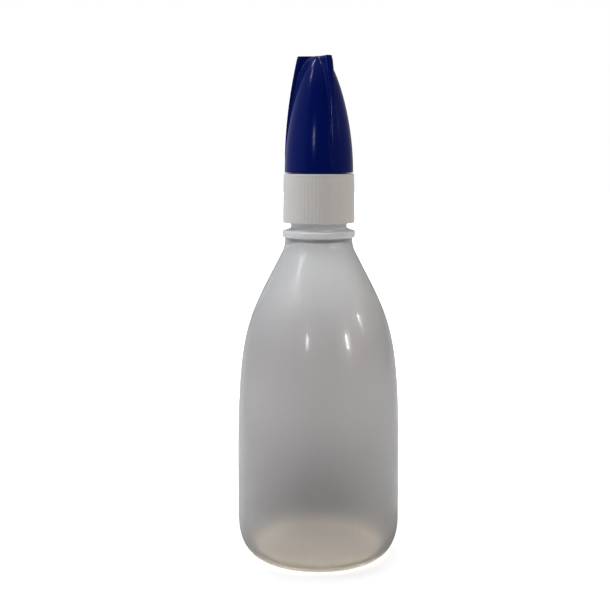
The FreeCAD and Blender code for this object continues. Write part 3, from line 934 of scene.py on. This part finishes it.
# room, from the front tone on: each tone's direction, where it starts and is full, and its colour
FRONT_TONE = (0.05, 0.05, 0.05)
ROOM_TONES = (
    ((0, 1, 0), -0.1, 0.6, (0.95, 0.95, 0.96)),
    ((0, 1, 0), 0.80, 0.96, (0.22, 0.215, 0.215)),
    ((-1, 0.2, 0.1), 0.3, 0.95, (0.64, 0.68, 0.75)),
    ((1, 0.3, 0), 0.3, 0.95, (0.42, 0.395, 0.36)),
    ((0, 0.2, 1), 0.35, 0.95, (0.84, 0.85, 0.87)),
    ((-0.15, 0.72, 0.62), 0.90, 0.98, (2.4, 2.35, 2.25)),
)

# soft boxes: bearing right of the front and rise in degrees, distance, width and height, power, tone
LIGHT_TARGET = (0, 0, 0.08)
LIGHTS = (
    ("window", 46, 15, 0.9, 0.04, 0.14, 1.15, WARM),
    ("upper_window", 77, 22, 0.9, 0.03, 0.10, 0.5, WARM),
    ("soft_box", -62, 46, 1.0, 0.05, 0.16, 1.4, WHITE),
    ("side_box", -80, 56, 1.0, 0.12, 0.22, 4.0, COOL),
    ("lamp", -18, 17, 0.9, 0.025, 0.11, 0.6, WHITE),
)


def make_camera():
    """Camera a little above the collar's height, looking down along the bottle."""
    data = bpy.data.cameras.new("camera")
    data.lens = LENS
    data.sensor_width = SENSOR
    data.clip_start = NEAREST
    camera = bpy.data.objects.new("camera", data)
    camera.location = CAMERA_PLACE
    camera.rotation_euler = Euler((math.radians(90 - CAMERA_DIP), 0, math.radians(CAMERA_YAW)))
    bpy.context.scene.collection.objects.link(camera)
    bpy.context.scene.camera = camera


def make_floor():
    """Wide pale floor."""
    mesh = bmesh.new()
    bmesh.ops.create_circle(
        mesh, cap_ends=True, cap_tris=False, segments=ROUND_SIDES, radius=FLOOR_RADIUS)
    data = bpy.data.meshes.new("floor")
    mesh.to_mesh(data)
    mesh.free()
    floor = bpy.data.objects.new("floor", data)
    bpy.context.scene.collection.objects.link(floor)
    data.materials.append(make_floor_paper())


def make_floor_paper():
    """White paper with a painted shadow in a strip before and behind the foot, painted shade far in
    front, and painted light under the foot: paler there, and glowing to all but the camera's rays. Seen
    first, it glows white, dimmer near the foot as painted shade.
    """
    material, tree, shader = new_material(
        "floor_paper_painted_shade_and_light", Roughness=0.9, Specular_IOR_Level=0.1, Emission_Strength=1.0)
    link = tree.links.new
    coords = tree.nodes.new("ShaderNodeTexCoord")
    split = tree.nodes.new("ShaderNodeSeparateXYZ")
    away = node_of(tree, "ShaderNodeVectorMath", operation="LENGTH")
    aside = node_of(tree, "ShaderNodeMath", operation="ABSOLUTE")
    clear = node_of(tree, "ShaderNodeMath", operation="MAXIMUM")
    path = tree.nodes.new("ShaderNodeLightPath")
    link(coords.outputs["Object"], split.inputs["Vector"])
    link(coords.outputs["Object"], away.inputs[0])
    link(split.outputs["X"], aside.inputs[0])
    # painted shadow: the paper is dark in a strip before and behind the foot, out from it
    link(ramp(tree, away.outputs["Value"], *PAINTED_SHADOW_AROUND_FADE), clear.inputs[0])
    link(ramp(tree, aside.outputs[0], *PAINTED_SHADOW_STRIP_FADE), clear.inputs[1])
    # painted light: under the foot the paper is paler and warmer, and glows to all but the camera's
    # rays
    under = ramp(tree, away.outputs["Value"], *UNDER_FOOT_PAINTED_LIGHT_FADE)
    # painted shade: the paper turns dark far in front of the bottle
    behind = ramp(tree, split.outputs["Y"], *PAINTED_FRONT_SHADE_FADE, "SMOOTHSTEP")
    edge = blend_tones(tree, under, PAINTED_FOOT_SHADOW_TONE, PAINTED_UNDER_FOOT_LIGHT_TONE)
    paper = blend_tones(tree, clear.outputs[0], edge, PAPER_TONE)
    link(blend_tones(tree, behind, PAINTED_FRONT_SHADE_TONE, paper), shader.inputs["Base Color"])
    below = blend_tones(tree, under, BLACK, PAINTED_UNDER_FOOT_GLOW)
    # painted shade: seen first, the paper glows white, but dimmer near the foot
    first = blend_tones(tree, ramp(tree, away.outputs["Value"], *NEAR_FOOT_PAINTED_SHADE_FADE), NEAR_FOOT_PAINTED_SHADE_GLOW, WHITE)
    glow = blend_tones(tree, path.outputs["Is Camera Ray"], below, first)
    link(glow, shader.inputs["Emission Color"])
    return material


def make_world():
    """Studio room: white where it is first seen, and as light dim in front, brighter left and above."""
    world = bpy.data.worlds.new("studio")
    world.use_nodes = True
    tree = world.node_tree
    link = tree.links.new
    coords = tree.nodes.new("ShaderNodeTexCoord")
    tone = FRONT_TONE
    for toward, low, high, over in ROOM_TONES:
        reach = node_of(tree, "ShaderNodeVectorMath", operation="DOT_PRODUCT")
        reach.inputs[1].default_value = Vector(toward).normalized()
        link(coords.outputs["Generated"], reach.inputs[0])
        mask = ramp(tree, reach.outputs["Value"], low, high, "SMOOTHSTEP")
        tone = blend_tones(tree, mask, tone, over)
    path = tree.nodes.new("ShaderNodeLightPath")
    first = blend_tones(tree, path.outputs["Is Camera Ray"], tone, WHITE)
    link(first, tree.nodes["Background"].inputs["Color"])
    bpy.context.scene.world = world


def make_light(name, bearing, rise, distance, width, height, power, tone):
    """A soft box aimed at the bottle from a bearing right of the front and an angle above level."""
    data = bpy.data.lights.new(name, "AREA")
    data.shape = "RECTANGLE"
    data.size = width
    data.size_y = height
    data.energy = power
    data.color = tone
    light = bpy.data.objects.new(name, data)
    turn, lift = math.radians(bearing), math.radians(rise)
    away = Vector((math.sin(turn) * math.cos(lift), -math.cos(turn) * math.cos(lift), math.sin(lift)))
    light.location = Vector(LIGHT_TARGET) + away * distance
    light.rotation_euler = away.to_track_quat("Z", "Y").to_euler()
    bpy.context.scene.collection.objects.link(light)


make_camera()
make_floor()
make_world()
for light in LIGHTS:
    make_light(*light)

make_bottle()
make_sealing_ring(make_seal_foam())
make_nozzle(make_nozzle_polythene())
make_collar(make_white_plastic())
make_overcap(make_blue_plastic())

bpy.context.scene.view_settings.view_transform = "Standard"
